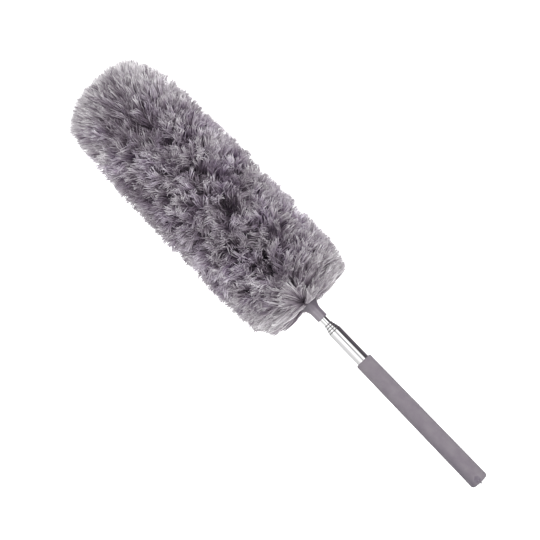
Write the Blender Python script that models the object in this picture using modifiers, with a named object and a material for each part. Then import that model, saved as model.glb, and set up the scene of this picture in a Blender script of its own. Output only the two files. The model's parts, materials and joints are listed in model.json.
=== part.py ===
"""Microfiber duster with a five-section telescopic steel pole, in metres, +Z up.

The duster lies at rest on the plane z = 0: the grip's end edge touches it, and the soft head, pressed
a little flat, carries the other end. The pole's axis lies in the XZ plane and rises towards the head,
which points to -X. Along that axis, s is the distance from the grip's end face.
"""

import math
import random

import bmesh
import bpy
from mathutils import Matrix, Vector

# Driving dimensions: grip
GRIP_LENGTH = 0.186
GRIP_TOP_WALL = 0.0022
GRIP_END_WALL = 0.0030
GRIP_TOP_ROUND = 0.0014
GRIP_END_ROUND = 0.0036
GRIP_END_DOME = 0.0006
GRIP_END_SOLID = 0.0140
GRIP_FIT = 0.0003
DIMPLE_CURVE = 0.0080
DIMPLE_DEPTH = 0.0013
DIMPLE_TO_END = 0.0055
DIMPLE_TURN = math.radians(10.0)
NIB_RADIUS = 0.0009
NIB_LENGTH = 0.0016

# Driving dimensions: telescopic pole
TUBE_COUNT = 5
OUTER_TUBE_RADIUS = 0.0077
TUBE_WALL = 0.0004
OUTER_TUBE_SHOWS = 0.0465
LIP_PITCH = 0.0032
INNER_TUBE_SHOWS = 0.0084
LIP_LENGTH = 0.0018
LIP_FIT = 0.00015
FOOT_HEIGHT = 0.0012
FOOT_TAPER = 0.0006
BEAD_HEIGHT = 0.0016
SHIM_LENGTH = 0.0180
SHIM_THICKNESS = 0.000235
SHIM_CHAMFER = 0.00008
SHIM_SPLIT = 0.0008
RUNNING_FIT = 0.0001
SEAT_GAP = 0.0003

# Driving dimensions: plug in the foot of the outer tube, stud in the top of the inner one
END_PLUG_FLANGE = 0.0012
END_PLUG_SHANK = 0.0080
PRESS_GAP = 0.0001
STUD_RADIUS = 0.0025
STUD_LENGTH = 0.0055
STUD_FLANGE = 0.0008
STUD_PLUG_DEPTH = 0.0150
CHAMFER = 0.0005

# Driving dimensions: collar
COLLAR_SOCKET_DEPTH = 0.0155
COLLAR_NECK_WALL = 0.0019
COLLAR_NECK_LENGTH = 0.0100
COLLAR_FLARE_LENGTH = 0.0131
COLLAR_MOUTH_RADIUS = 0.0131
COLLAR_FLARE_POWER = 2.2
COLLAR_RIM = 0.0012
COLLAR_EDGE_ROUND = 0.0006
SOCKET_FIT = 0.0002
BOSS_WALL = 0.0016
BOSS_LENGTH = 0.0170

# Driving dimensions: wire core and its cap
WIRE_RADIUS = 0.0011
WIRE_STRAND_GAP = 0.0006
WIRE_PITCH = 0.036
WIRE_TOP_TO_TIP = 0.0630
WIRE_FIT = 0.0003
CAP_WALL = 0.0014
CAP_LENGTH = 0.0150
CAP_COVER = 0.0105

# Driving dimensions: microfiber head
PILE_LENGTH = 0.3460
PILE_OVER_COLLAR = 0.0006
PILE_RADIUS = 0.0655
PILE_BASE_FLAT = 0.0500
PILE_BASE_ROUND = 0.0200
PILE_DOME_LENGTH = 0.0870
PILE_DOME_POWER = 2.8
PILE_SQUASH = 0.0215
PILE_END_DISC = 0.0380
TUFT_DEPTH = 0.0165
TUFT_POINT = 0.0060
TUFT_TAPER = 0.70
TUFT_LEAN = 0.0030
TUFT_UNEVEN = 0.0020
TUFT_STRAY = 0.0030
TUFT_ROWS = 18
TUFTS_PER_SIDE = 5
TWIST_PER_METRE = math.radians(230.0)
PILE_FIT = 0.0004

SEGMENTS = 24
GRIP_SEGMENTS = 32
COLLAR_SEGMENTS = 32
ARC_STEPS = 3
GRIP_END_STEPS = 5
DIMPLE_STEPS = 6
LIP_STEPS = 4
FLARE_STEPS = 8
MERIDIAN_STEPS = 24
HELIX_POINTS = 8
SEED = 11
MERGE = 0.000001

# Sizes that follow from the driving dimensions
GRIP_TOP_RADIUS = OUTER_TUBE_RADIUS + GRIP_FIT + GRIP_TOP_WALL
GRIP_END_RADIUS = OUTER_TUBE_RADIUS + GRIP_FIT + GRIP_END_WALL
STAGE_STEP = TUBE_WALL + 2 * RUNNING_FIT + SHIM_THICKNESS
TUBE_RADII = [OUTER_TUBE_RADIUS - STAGE_STEP * stage for stage in range(TUBE_COUNT)]
TUBE_BORES = [radius - TUBE_WALL for radius in TUBE_RADII]
INNER_RADIUS = TUBE_RADII[-1]
END_PLUG_START = GRIP_END_SOLID + SEAT_GAP
OUTER_TUBE_FOOT = END_PLUG_START + END_PLUG_FLANGE + SEAT_GAP
INNER_TUBE_FOOT = OUTER_TUBE_FOOT + END_PLUG_SHANK + SEAT_GAP
SHIM_START = FOOT_HEIGHT + FOOT_TAPER + SEAT_GAP
BEAD_START = SHIM_START + SHIM_LENGTH + SEAT_GAP
OUTER_TUBE_TOP = GRIP_LENGTH + OUTER_TUBE_SHOWS
COLLAR_START = OUTER_TUBE_TOP + LIP_PITCH * (TUBE_COUNT - 2) + INNER_TUBE_SHOWS
INNER_TUBE_TOP = COLLAR_START + COLLAR_SOCKET_DEPTH
STUD_START = INNER_TUBE_TOP + SEAT_GAP
STUD_END = STUD_START + STUD_FLANGE + STUD_LENGTH
COLLAR_NECK_RADIUS = INNER_RADIUS + SOCKET_FIT + COLLAR_NECK_WALL
COLLAR_END = COLLAR_START + COLLAR_NECK_LENGTH + COLLAR_FLARE_LENGTH
PILE_START = COLLAR_END - PILE_OVER_COLLAR
PILE_END = PILE_START + PILE_LENGTH
WIRE_TOP = PILE_END - WIRE_TOP_TO_TIP
WIRE_OFFSET = WIRE_RADIUS + WIRE_STRAND_GAP / 2
WIRE_BUNDLE_RADIUS = WIRE_OFFSET + WIRE_RADIUS
WIRE_BORE = WIRE_BUNDLE_RADIUS + WIRE_FIT
WIRE_START = STUD_END + SEAT_GAP + WIRE_RADIUS
BOSS_END = STUD_START + BOSS_LENGTH
BOSS_RADIUS = WIRE_BORE + BOSS_WALL
CAP_START = WIRE_TOP + WIRE_RADIUS + SEAT_GAP - CAP_COVER
CAP_RADIUS = WIRE_BORE + CAP_WALL
CAP_END = CAP_START + CAP_LENGTH
PILE_FULL_START = PILE_START + PILE_BASE_ROUND

# At rest the head's full width starts PILE_SQUASH nearer to the floor than its radius
REST_TILT = math.atan2(PILE_RADIUS - PILE_SQUASH - GRIP_END_RADIUS, PILE_FULL_START)
AXIS_HEIGHT = (
    (GRIP_END_RADIUS - GRIP_END_ROUND) * math.cos(REST_TILT)
    - (GRIP_END_DOME + GRIP_END_ROUND) * math.sin(REST_TILT) + GRIP_END_ROUND
)
AXIS_X = (PILE_END * math.cos(REST_TILT) - GRIP_END_RADIUS * math.sin(REST_TILT)) / 2


def clear_scene():
    for item in list(bpy.data.objects):
        bpy.data.objects.remove(item, do_unlink=True)


def make_collection(name):
    found = bpy.data.collections.new(name)
    bpy.context.scene.collection.children.link(found)
    return found


clear_scene()
PARTS = make_collection("microfiber_duster")
CUTTERS = make_collection("cutters")


def material(name, colour, roughness, metallic=0.0):
    """A Principled material of one colour."""
    made = bpy.data.materials.new(name)
    made.use_nodes = True
    shader = made.node_tree.nodes["Principled BSDF"]
    shader.inputs["Base Color"].default_value = (*colour, 1.0)
    shader.inputs["Roughness"].default_value = roughness
    shader.inputs["Metallic"].default_value = metallic
    return made


GRIP_RUBBER = material("grip_rubber", (0.26, 0.235, 0.265), 0.85)
STEEL = material("polished_steel", (0.80, 0.80, 0.82), 0.10, 1.0)
SHIM_PLASTIC = material("shim_plastic", (0.85, 0.85, 0.80), 0.50)
PLUG_PLASTIC = material("plug_plastic", (0.10, 0.10, 0.11), 0.55)
COLLAR_PLASTIC = material("collar_plastic", (0.22, 0.18, 0.23), 0.38)
CORE_WIRE = material("galvanised_wire", (0.55, 0.55, 0.56), 0.35, 1.0)
MICROFIBER = material("microfiber", (0.30, 0.27, 0.31), 0.95)


def empty(name, parent, along=0.0):
    """An empty on the pole's axis, that far along it from its parent."""
    made = bpy.data.objects.new(name, None)
    made.empty_display_size = 0.02
    PARTS.objects.link(made)
    made.parent = parent
    made.location = (0.0, 0.0, along)
    return made


def place(name, mesh, parent, along, look=None, cutter=False):
    """An object of the mesh on the pole's axis, as a part or as a cutter."""
    made = bpy.data.objects.new(name, mesh)
    (CUTTERS if cutter else PARTS).objects.link(made)
    made.parent = parent
    made.location = (0.0, 0.0, along)
    if look is not None:
        mesh.materials.append(look)
    if cutter:
        made.hide_render = True
        made.display_type = "WIRE"
    return made


def turned(name, profile, parent, along, look=None, segments=SEGMENTS, closed=True, cutter=False):
    """A turned solid: (radius, height) points down its outer side, then back up its bore or axis."""
    mesh = bpy.data.meshes.new(name)
    count = len(profile)
    edges = [(i, i + 1) for i in range(count - 1)]
    if closed:
        edges.append((count - 1, 0))
    mesh.from_pydata([(radius, 0.0, height) for radius, height in profile], edges, [])
    made = place(name, mesh, parent, along, look, cutter)
    screw = made.modifiers.new("turn", "SCREW")
    screw.steps = segments
    screw.render_steps = segments
    screw.use_merge_vertices = True
    screw.merge_threshold = MERGE
    screw.use_smooth_shade = True
    return made


def cut(target, cutter):
    boolean = target.modifiers.new("cut_" + cutter.name, "BOOLEAN")
    boolean.operation = "DIFFERENCE"
    boolean.object = cutter
    return boolean


def arc(centre, radius, start, end, steps=ARC_STEPS):
    """Points of an arc in the profile's plane, angles in degrees from +radius towards +height."""
    angles = [math.radians(start + (end - start) * i / steps) for i in range(steps + 1)]
    return [(centre[0] + radius * math.cos(a), centre[1] + radius * math.sin(a)) for a in angles]


def travel(stage):
    """How far a tube slides out before its bead meets the lip of the tube around it."""
    lip = tube_top(stage - 1) - LIP_LENGTH
    return lip - SEAT_GAP - (INNER_TUBE_FOOT + BEAD_START + BEAD_HEIGHT / 2)


def add_axes():
    """The pole's axis, and on it one empty for each joint, from the grip to the head."""
    pole = empty("pole_axis", None)
    pole.location = (AXIS_X, 0.0, AXIS_HEIGHT)
    pole.rotation_euler = (0.0, REST_TILT - math.pi / 2, 0.0)
    carriers = [(pole, pole)]
    parent = pole
    along = INNER_TUBE_FOOT
    for stage in range(1, TUBE_COUNT):
        slide = empty(f"slide_{stage + 1}", parent, along)
        slide["travel"] = travel(stage)
        swivel = empty(f"swivel_{stage + 1}", slide)
        carriers.append((slide, swivel))
        parent = swivel
        along = 0.0
    return carriers


def dimple_cutter(pole):
    """A round-nosed tool, square to the pole, whose nose is part of a ball."""
    lid = GRIP_END_RADIUS
    angle = math.degrees(math.acos(1 - 2 * DIMPLE_DEPTH / DIMPLE_CURVE))
    nose = arc((0.0, DIMPLE_CURVE), DIMPLE_CURVE, angle - 90, -90, DIMPLE_STEPS)
    profile = [(0.0, lid), (nose[0][0], lid)] + nose
    made = turned("hang_dimple", profile, pole, DIMPLE_TO_END, closed=False, cutter=True)
    made.rotation_euler = (0.0, math.pi / 2, DIMPLE_TURN)
    nose_out = GRIP_END_RADIUS - DIMPLE_DEPTH
    made.location = (nose_out * math.cos(DIMPLE_TURN), nose_out * math.sin(DIMPLE_TURN), DIMPLE_TO_END)
    return made


def add_grip(pole):
    """One moulded sleeve with a closed, domed end, which has a shallow dimple and a moulding nib."""
    bore = OUTER_TUBE_RADIUS + GRIP_FIT
    top = arc((GRIP_TOP_RADIUS - GRIP_TOP_ROUND, GRIP_LENGTH - GRIP_TOP_ROUND), GRIP_TOP_ROUND, 90, 0)
    flat = GRIP_END_RADIUS - GRIP_END_ROUND
    end = arc((flat, GRIP_END_DOME + GRIP_END_ROUND), GRIP_END_ROUND, 0, -90, GRIP_END_STEPS)
    dome = [
        (flat * share, GRIP_END_DOME * share**2)
        for share in [1 - i / GRIP_END_STEPS for i in range(1, GRIP_END_STEPS)]
    ]
    nib = [(NIB_RADIUS, 0.0), (NIB_RADIUS, -NIB_LENGTH), (0.0, -NIB_LENGTH)]
    inside = [(0.0, GRIP_END_SOLID), (bore, GRIP_END_SOLID), (bore, GRIP_LENGTH)]
    profile = inside + top + end + dome + nib
    grip = turned("grip_sleeve", profile, pole, 0.0, GRIP_RUBBER, GRIP_SEGMENTS, closed=False)
    cut(grip, dimple_cutter(pole))


def add_end_plug(pole):
    """The plug pressed into the outer tube's foot, on whose top the inner tubes stand."""
    shank = TUBE_BORES[0] - PRESS_GAP
    top = END_PLUG_FLANGE + SEAT_GAP + END_PLUG_SHANK
    profile = [
        (0.0, top), (shank - CHAMFER, top), (shank, top - CHAMFER), (shank, END_PLUG_FLANGE),
        (OUTER_TUBE_RADIUS, END_PLUG_FLANGE), (OUTER_TUBE_RADIUS, 0.0), (0.0, 0.0),
    ]
    turned("tube_end_plug", profile, pole, END_PLUG_START, PLUG_PLASTIC, closed=False)


def tube_outline(stage, length):
    """The outer side of a tube's wall, top to bottom: rolled-in lip, bead, shim seat, flared foot."""
    radius = TUBE_RADII[stage]
    outline = [(radius, length)]
    if stage < TUBE_COUNT - 1:
        lip = TUBE_RADII[stage + 1] + LIP_FIT + TUBE_WALL
        roll = arc((0.0, 0.0), 1.0, 90, 0, LIP_STEPS)
        outline = [
            (lip + (radius - lip) * out, length - LIP_LENGTH * (1 - up)) for out, up in roll
        ]
    if stage == 0:
        return outline + [(radius, 0.0)]
    flare = TUBE_BORES[stage - 1] - RUNNING_FIT
    return outline + [
        (radius, BEAD_START + BEAD_HEIGHT), (flare, BEAD_START + BEAD_HEIGHT / 2),
        (radius, BEAD_START), (radius, FOOT_HEIGHT + FOOT_TAPER), (flare, FOOT_HEIGHT), (flare, 0.0),
    ]


def tube_top(stage):
    if stage == TUBE_COUNT - 1:
        return INNER_TUBE_TOP
    return OUTER_TUBE_TOP + LIP_PITCH * stage


def add_tube(stage, carrier):
    """One steel tube of the pole, its wall of even thickness."""
    foot = OUTER_TUBE_FOOT if stage == 0 else INNER_TUBE_FOOT
    outline = tube_outline(stage, tube_top(stage) - foot)
    inside = [(radius - TUBE_WALL, height) for radius, height in reversed(outline)]
    along = foot if stage == 0 else 0.0
    turned(f"tube_{stage + 1}", outline + inside, carrier, along, STEEL)


def add_shims(stage, carrier):
    """The two half-shell friction shims between a tube's seat and the bore of the next one out."""
    inner = TUBE_RADII[stage] + RUNNING_FIT
    outer = inner + SHIM_THICKNESS
    section = [
        (inner, 0.0), (outer - SHIM_CHAMFER, 0.0), (outer, SHIM_CHAMFER),
        (outer, SHIM_LENGTH - SHIM_CHAMFER), (outer - SHIM_CHAMFER, SHIM_LENGTH), (inner, SHIM_LENGTH),
    ]
    split = SHIM_SPLIT / inner
    for side, start in (("upper", -math.pi / 2), ("lower", math.pi / 2)):
        mesh = bpy.data.meshes.new(f"shim_{stage + 1}_{side}")
        bm = bmesh.new()
        first = Matrix.Rotation(start + split / 2, 3, "Z")
        corners = [bm.verts.new(first @ Vector((radius, 0.0, height))) for radius, height in section]
        face = bm.faces.new(corners)
        bmesh.ops.spin(
            bm, geom=[face, *face.edges, *face.verts], axis=(0, 0, 1), cent=(0, 0, 0),
            angle=math.pi - split, steps=SEGMENTS // 2,
        )
        bmesh.ops.recalc_face_normals(bm, faces=bm.faces[:])
        bm.to_mesh(mesh)
        bm.free()
        place(f"shim_{stage + 1}_{side}", mesh, carrier, SHIM_START, SHIM_PLASTIC)


def add_stud(carrier, origin):
    """The threaded stud whose shank is pressed into the inner tube's top; the head screws onto it."""
    shank = TUBE_BORES[-1] - PRESS_GAP
    seat = STUD_START
    profile = [
        (0.0, STUD_END), (STUD_RADIUS - CHAMFER, STUD_END), (STUD_RADIUS, STUD_END - CHAMFER),
        (STUD_RADIUS, seat + STUD_FLANGE), (INNER_RADIUS, seat + STUD_FLANGE), (INNER_RADIUS, seat),
        (shank, seat), (shank, seat - STUD_PLUG_DEPTH), (0.0, seat - STUD_PLUG_DEPTH),
    ]
    profile = [(radius, height - seat) for radius, height in profile]
    turned("thread_stud", profile, carrier, seat - origin, STEEL, 20, closed=False)


def collar_radius(height):
    """The collar's outer radius, that far from its narrow end: a straight neck, then a trumpet."""
    rise = max(0.0, height - COLLAR_NECK_LENGTH) / COLLAR_FLARE_LENGTH
    return COLLAR_NECK_RADIUS + (COLLAR_MOUTH_RADIUS - COLLAR_NECK_RADIUS) * rise**COLLAR_FLARE_POWER


def add_collar(carrier, origin):
    """The moulded trumpet collar: a socket for the inner tube, a bore for the stud, and inside the
    flare a boss that holds the wire core's tail."""
    length = COLLAR_END - COLLAR_START
    shoulder = STUD_START + STUD_FLANGE + SEAT_GAP - COLLAR_START
    flange_bore = INNER_RADIUS + SOCKET_FIT
    cup_floor = shoulder + COLLAR_RIM
    boss_top = BOSS_END - COLLAR_START
    heights = [
        length - COLLAR_FLARE_LENGTH * i / FLARE_STEPS for i in range(FLARE_STEPS + 1)
    ]
    outside = [(collar_radius(height), height) for height in heights]
    narrow_end = [
        (COLLAR_NECK_RADIUS, COLLAR_EDGE_ROUND), (COLLAR_NECK_RADIUS - COLLAR_EDGE_ROUND, 0.0)
    ]
    socket = [
        (flange_bore, 0.0), (flange_bore, shoulder), (WIRE_BORE, shoulder), (WIRE_BORE, boss_top)
    ]
    boss = [(BOSS_RADIUS, boss_top), (BOSS_RADIUS, cup_floor)]
    cup = [
        (collar_radius(height) - COLLAR_RIM, height)
        for height in [cup_floor, *(height for height in reversed(heights) if height > cup_floor)]
    ]
    profile = outside + narrow_end + socket + boss + cup
    turned("collar", profile, carrier, COLLAR_START - origin, COLLAR_PLASTIC, COLLAR_SEGMENTS)


def wire_route():
    """The folded wire's centre line: up one strand of the twist, over the fold and down the other."""
    turns = (WIRE_TOP - WIRE_OFFSET - WIRE_START) / WIRE_PITCH
    steps = math.ceil(turns * HELIX_POINTS)
    top = WIRE_TOP - WIRE_OFFSET
    up = []
    for i in range(steps + 1):
        height = WIRE_START + (top - WIRE_START) * i / steps
        angle = 2 * math.pi * (height - top) / WIRE_PITCH
        up.append(Vector((WIRE_OFFSET * math.cos(angle), WIRE_OFFSET * math.sin(angle), height)))
    fold = [
        Vector((WIRE_OFFSET * math.cos(a), 0.0, top + WIRE_OFFSET * math.sin(a)))
        for a in (math.pi / 4, math.pi / 2, 3 * math.pi / 4)
    ]
    down = [Vector((-point.x, -point.y, point.z)) for point in reversed(up)]
    return up, fold, down


def add_wire(carrier, origin):
    """The core: one wire folded at the tip, its two strands twisted together."""
    up, fold, down = wire_route()
    gap = min((a - b).length for a in up for b in down) - 2 * WIRE_RADIUS
    print(f"core_wire least gap between its strands: {gap * 1000:.2f} mm")
    curve = bpy.data.curves.new("core_wire", "CURVE")
    curve.dimensions = "3D"
    curve.bevel_depth = WIRE_RADIUS
    curve.bevel_resolution = 1
    curve.use_fill_caps = True
    points = up + fold + down
    spline = curve.splines.new("POLY")
    spline.points.add(len(points) - 1)
    for target, point in zip(spline.points, points):
        target.co = (point.x, point.y, point.z - WIRE_START, 1.0)
    made = bpy.data.objects.new("core_wire", curve)
    PARTS.objects.link(made)
    made.parent = carrier
    made.location = (0.0, 0.0, WIRE_START - origin)
    curve.materials.append(CORE_WIRE)


def add_cap(carrier, origin):
    """The small moulded cap over the wire's fold, deep in the fluff."""
    length = CAP_END - CAP_START
    depth = CAP_COVER
    dome = arc((0.0, length - CAP_RADIUS), CAP_RADIUS, 90, 0, 5)
    inside = [(CAP_RADIUS, 0.0), (WIRE_BORE, 0.0), (WIRE_BORE, depth), (0.0, depth)]
    turned("tip_cap", dome + inside, carrier, CAP_START - origin, PLUG_PLASTIC, closed=False)


def pile_meridian(inset):
    """The head's outline from its base centre to its tip, that far inside the tufts' tips."""
    radius = PILE_RADIUS - inset
    flat = PILE_BASE_FLAT - inset
    start = PILE_START + inset
    dome = PILE_END - PILE_DOME_LENGTH
    reach = PILE_END - inset - dome
    points = [(0.0, start), (flat, start)]
    for i in range(1, ARC_STEPS * 2 + 1):
        angle = math.pi / 2 * i / (ARC_STEPS * 2)
        points.append((
            flat + (radius - flat) * math.sin(angle),
            start + (PILE_BASE_ROUND - inset / 2) * (1 - math.cos(angle)),
        ))
    for i in range(MERIDIAN_STEPS + 1):
        angle = math.pi / 2 * i / MERIDIAN_STEPS
        share = 2 / PILE_DOME_POWER
        points.append((radius * math.cos(angle) ** share, dome + reach * math.sin(angle) ** share))
    points[-1] = (0.0, dome + reach)
    return points


def along_meridian(points, share):
    """The (radius, s) point at that share of the outline's length."""
    lengths = [math.dist(a, b) for a, b in zip(points, points[1:])]
    left = share * sum(lengths)
    for (a, b), length in zip(zip(points, points[1:]), lengths):
        if left <= length:
            part = left / length
            return a[0] + (b[0] - a[0]) * part, a[1] + (b[1] - a[1]) * part
        left -= length
    return points[-1]


def tuft_grid():
    """A box of quads: TUFTS_PER_SIDE square ends and TUFT_ROWS rows between them."""
    bm = bmesh.new()
    bmesh.ops.create_cube(bm, size=2.0)
    for axis, cuts in ((2, TUFT_ROWS - 1), (0, TUFTS_PER_SIDE - 1), (1, TUFTS_PER_SIDE - 1)):
        others = [i for i in range(3) if i != axis]
        edges = [
            edge for edge in bm.edges
            if all(abs(edge.verts[0].co[i] - edge.verts[1].co[i]) < 1e-6 for i in others)
        ]
        bmesh.ops.subdivide_edges(bm, edges=edges, cuts=cuts, use_grid_fill=True)
    return bm


def grid_place(corner, total):
    """A box corner's share of the head's outline, from base to tip, and its angle about the axis."""
    x, y, z = corner
    disc = Vector((x * math.sqrt(1 - y * y / 2), y * math.sqrt(1 - x * x / 2)))
    end = PILE_END_DISC / total
    if z < MERGE - 1:
        share = disc.length * end
    elif z > 1 - MERGE:
        share = 1 - disc.length * end
    else:
        share = end + (1 - 2 * end) * (z + 1) / 2
    return share, math.atan2(disc.y, disc.x)


def wrap_point(share, angle, outline):
    """That place on the head's outline, turned about its axis with the pile's slow twist."""
    radius, height = along_meridian(outline, share)
    angle += TWIST_PER_METRE * (height - PILE_START)
    return Vector((radius * math.cos(angle), radius * math.sin(angle), height))


def add_pile(carrier, origin):
    """The fluffy head: tapered four-sided tufts side by side on a common backing."""
    rng = random.Random(SEED)
    bm = tuft_grid()
    outward = bm.verts.layers.float_vector.new("outward")
    tips, backing = pile_meridian(0.0), pile_meridian(TUFT_DEPTH)
    total = sum(math.dist(a, b) for a, b in zip(tips, tips[1:]))
    for vert in bm.verts:
        share, angle = grid_place(vert.co, total)
        share += rng.uniform(-TUFT_STRAY, TUFT_STRAY) / total
        angle += rng.uniform(-TUFT_STRAY, TUFT_STRAY) / PILE_RADIUS
        vert.co = wrap_point(share, angle, backing)
        vert[outward] = (wrap_point(share, angle, tips) - vert.co) / TUFT_DEPTH
    crowns = bmesh.ops.extrude_discrete_faces(bm, faces=bm.faces[:])["faces"]
    tops = []
    for crown in crowns:
        push = sum((vert[outward] for vert in crown.verts), Vector()) / len(crown.verts)
        uneven = rng.uniform(-TUFT_UNEVEN, TUFT_UNEVEN)
        lean = Vector([rng.uniform(-TUFT_LEAN, TUFT_LEAN) for _ in range(3)])
        lean -= push * lean.dot(push) / push.length_squared
        for vert in crown.verts:
            vert.co += vert[outward] * (TUFT_DEPTH - TUFT_POINT + uneven)
        centre = crown.calc_center_median()
        for vert in crown.verts:
            vert.co = centre + (vert.co - centre) * TUFT_TAPER + lean / 2
        tops.append(centre + push * TUFT_POINT + lean)
    points = bmesh.ops.poke(bm, faces=crowns)["verts"]
    for vert, top in zip(points, tops):
        vert.co = top
    bmesh.ops.triangulate(bm, faces=bm.faces[:])
    for vert in bm.verts:
        vert.co.z -= PILE_START
    mesh = bpy.data.meshes.new("microfiber_pile")
    bm.to_mesh(mesh)
    bm.free()
    pile = place("microfiber_pile", mesh, carrier, PILE_START - origin, MICROFIBER)
    cut(pile, core_cutter(carrier, origin))
    cut(pile, floor_cutter())


def core_cutter(carrier, origin):
    """The space in the head for the collar's mouth and boss, the wire core and its cap."""
    rim = COLLAR_MOUTH_RADIUS + PILE_FIT
    boss = BOSS_RADIUS + PILE_FIT
    cap = CAP_RADIUS + PILE_FIT
    below = PILE_START - PILE_BASE_ROUND
    steps = [
        (cap, CAP_END + PILE_FIT), (cap, CAP_START - PILE_FIT), (WIRE_BORE, CAP_START - PILE_FIT),
        (WIRE_BORE, BOSS_END + PILE_FIT), (boss, BOSS_END + PILE_FIT), (boss, COLLAR_END + PILE_FIT),
        (rim, COLLAR_END + PILE_FIT), (rim, below),
    ]
    profile = [(0.0, steps[0][1]), *steps, (0.0, below)]
    profile = [(radius, height - below) for radius, height in profile]
    return turned("core_space", profile, carrier, below - origin, closed=False, cutter=True)


def floor_cutter():
    """A block with its top on z = 0, which presses the head's underside flat."""
    mesh = bpy.data.meshes.new("floor_block")
    bm = bmesh.new()
    size = PILE_END * 2
    bmesh.ops.create_cube(bm, size=size, matrix=Matrix.Translation((0.0, 0.0, -size / 2)))
    bm.to_mesh(mesh)
    bm.free()
    return place("floor_block", mesh, None, 0.0, cutter=True)


def build():
    carriers = add_axes()
    pole = carriers[0][0]
    add_grip(pole)
    add_end_plug(pole)
    for stage, (slide, swivel) in enumerate(carriers):
        add_tube(stage, swivel)
        if stage > 0:
            add_shims(stage, slide)
    head = carriers[-1][1]
    add_stud(head, INNER_TUBE_FOOT)
    add_collar(head, INNER_TUBE_FOOT)
    add_wire(head, INNER_TUBE_FOOT)
    add_cap(head, INNER_TUBE_FOOT)
    add_pile(head, INNER_TUBE_FOOT)


build()
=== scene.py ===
"""Looks of the microfiber duster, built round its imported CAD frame.

The pole's axis lies in the XZ plane. Along it, s is the distance from the grip's end face towards the
head, and round it, an angle of 0 is the top and a quarter turn is +Y. Lengths are in metres.
"""

import json
import math

import bmesh
import bpy
import numpy as np
from mathutils import Matrix, Vector


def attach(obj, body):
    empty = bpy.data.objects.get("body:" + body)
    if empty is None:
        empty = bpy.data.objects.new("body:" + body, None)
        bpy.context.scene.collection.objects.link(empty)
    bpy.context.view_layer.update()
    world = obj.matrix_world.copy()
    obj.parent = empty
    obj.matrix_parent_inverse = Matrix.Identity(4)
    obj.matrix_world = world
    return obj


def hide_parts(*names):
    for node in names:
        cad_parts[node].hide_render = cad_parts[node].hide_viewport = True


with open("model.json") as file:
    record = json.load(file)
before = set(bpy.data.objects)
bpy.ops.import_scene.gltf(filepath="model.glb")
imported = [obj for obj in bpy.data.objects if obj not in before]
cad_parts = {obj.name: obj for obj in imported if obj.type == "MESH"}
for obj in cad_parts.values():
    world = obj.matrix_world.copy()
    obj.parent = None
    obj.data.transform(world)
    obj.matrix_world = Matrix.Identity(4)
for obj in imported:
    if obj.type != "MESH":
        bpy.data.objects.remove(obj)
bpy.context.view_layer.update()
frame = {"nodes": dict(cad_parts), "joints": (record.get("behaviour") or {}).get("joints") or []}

MM = 0.001
TAU = 2 * math.pi
SEED = 7

# Where the pole is: every joint's point lies on its axis, at the foot of the inner tubes
FOOT_S = 24.1 * MM
HINGE = frame["joints"][-1]
AXIS = Vector(HINGE["axis"])
POLE_END = Vector(HINGE["pos_m"]) - AXIS * FOOT_S
SIDE = Vector((0.0, 1.0, 0.0))
TOP = SIDE.cross(AXIS)

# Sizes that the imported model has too
GRIP_LENGTH = 186 * MM
GRIP_TOP_RADIUS = 10.2 * MM
GRIP_END_RADIUS = 11.0 * MM
GRIP_BORE = 8.0 * MM
GRIP_END_SOLID = 14 * MM
GRIP_TOP_ROUND = 1.4 * MM
GRIP_END_ROUND = 3.6 * MM
GRIP_END_DOME = 0.6 * MM
DIMPLE_CURVE = 8.0 * MM
DIMPLE_DEPTH = 1.3 * MM
DIMPLE_TO_END = 5.5 * MM
DIMPLE_TURN = math.radians(10.0)
NIB_RADIUS = 0.9 * MM
NIB_LENGTH = 1.6 * MM
TUBE_RADII = [7.7 * MM, 6.865 * MM, 6.03 * MM, 5.195 * MM, 4.36 * MM]
TUBE_WALL = 0.4 * MM
RUNNING_FIT = 0.1 * MM
TUBE_TOPS = [232.5 * MM, 235.7 * MM, 238.9 * MM, 242.1 * MM, 266.0 * MM]
OUTER_TUBE_FOOT = 15.8 * MM
LIP_LENGTH = 1.8 * MM
LIP_FIT = 0.15 * MM
FLARE_LENGTH = 1.2 * MM
FLARE_CONE_END = 1.8 * MM
BEAD_START, BEAD_TOP, BEAD_END = 20.4 * MM, 21.2 * MM, 22.0 * MM
COLLAR_START = 250.5 * MM
COLLAR_END = 273.6 * MM
COLLAR_NECK = 10.0 * MM
COLLAR_NECK_RADIUS = 6.46 * MM
COLLAR_MOUTH_RADIUS = 13.1 * MM
COLLAR_RIM = 1.2 * MM
COLLAR_EDGE = 0.5 * MM
COLLAR_WEB_END = 268.6 * MM
FLARE_POWER = 2.2
SOCKET_RADIUS = 4.56 * MM
SOCKET_END = 267.4 * MM
BOSS_RADIUS = 4.4 * MM
BOSS_END = 283.3 * MM
WIRE_BORE = 2.8 * MM
CAP_BORE = 4.3 * MM
CAP_START, CAP_END = 546.5 * MM, 562.3 * MM
HEAD_TIP_X = -310 * MM
HEAD_BASE_X = 35 * MM

# The camera: how far its sight line leans from straight above the pole, in degrees
LEAN_TO_GRIP = 4.0
LEAN_TO_SIDE = 12.7
CAMERA_DISTANCE = 2.2
LENS = 131.9
LOOKS_AT_S = 330.0 * MM
LOOKS_ASIDE = -4.8 * MM
GRIP_ACROSS, GRIP_DOWN = 0.694, 0.720   # the grip's direction in the picture


def to_world(local):
    """An array of points (towards the top, towards +Y, s) in the row frame."""
    basis = np.array([TOP, SIDE, AXIS])
    return local @ basis + np.array(POLE_END)


# Materials


def new_material(name, roughness, metallic=0.0, specular=0.5):
    """A Principled material, its node tree and its shader."""
    made = bpy.data.materials.new(name)
    made.use_nodes = True
    shader = made.node_tree.nodes["Principled BSDF"]
    shader.inputs["Roughness"].default_value = roughness
    shader.inputs["Metallic"].default_value = metallic
    shader.inputs["Specular IOR Level"].default_value = specular
    return made, made.node_tree, shader


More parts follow.
